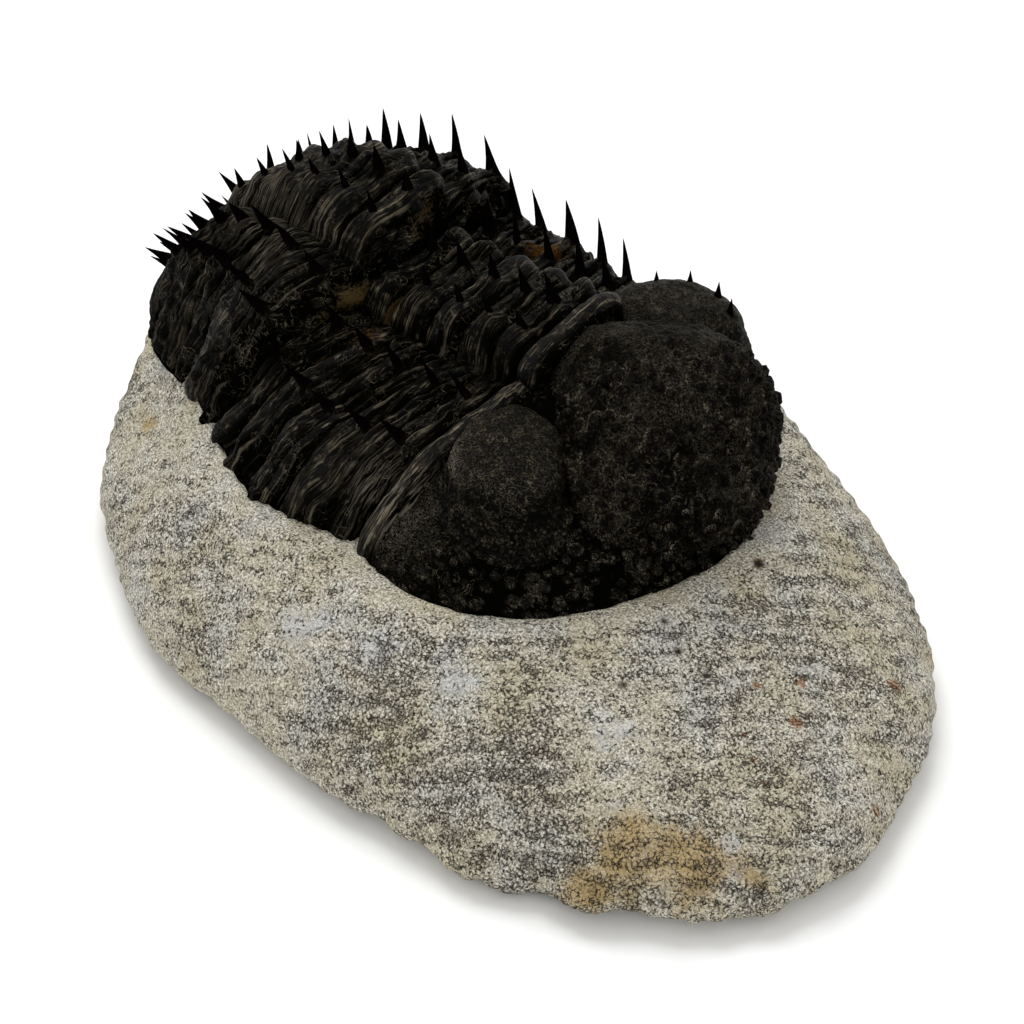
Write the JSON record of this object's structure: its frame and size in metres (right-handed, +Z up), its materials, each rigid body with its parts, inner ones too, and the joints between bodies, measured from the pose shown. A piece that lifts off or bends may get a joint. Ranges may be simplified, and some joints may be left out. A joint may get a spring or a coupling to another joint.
{
  "type": "spiny trilobite fossil on its limestone matrix",
  "caption": "Spiny phacopid trilobite with a pustulose head, compound eyes, an articulated thorax and a tail shield, raised on a rounded block of limestone matrix.",
  "frame": {"origin": "middle of the flat spot that the stone rests on", "axes": "+X the way the head points, along the stone's long side; +Y the animal's left; +Z up"},
  "size_m": [0.153, 0.105, 0.0671],
  "materials": {
    "limestone": "pale grey limestone, worked with an air pen to a stippled, dusty surface",
    "shell": "black calcite shell with a low satin sheen and pale calcite veins"
  },
  "bodies": {
    "root": {"matrix_stone": "limestone", "head_shield": "shell", "thorax_segment_01": "shell", "thorax_segment_02": "shell", "thorax_segment_03": "shell", "thorax_segment_04": "shell", "thorax_segment_05": "shell", "thorax_segment_06": "shell", "thorax_segment_07": "shell", "thorax_segment_08": "shell", "thorax_segment_09": "shell", "thorax_segment_10": "shell", "thorax_segment_11": "shell", "tail_shield": "shell"}
  },
  "joints": []
}
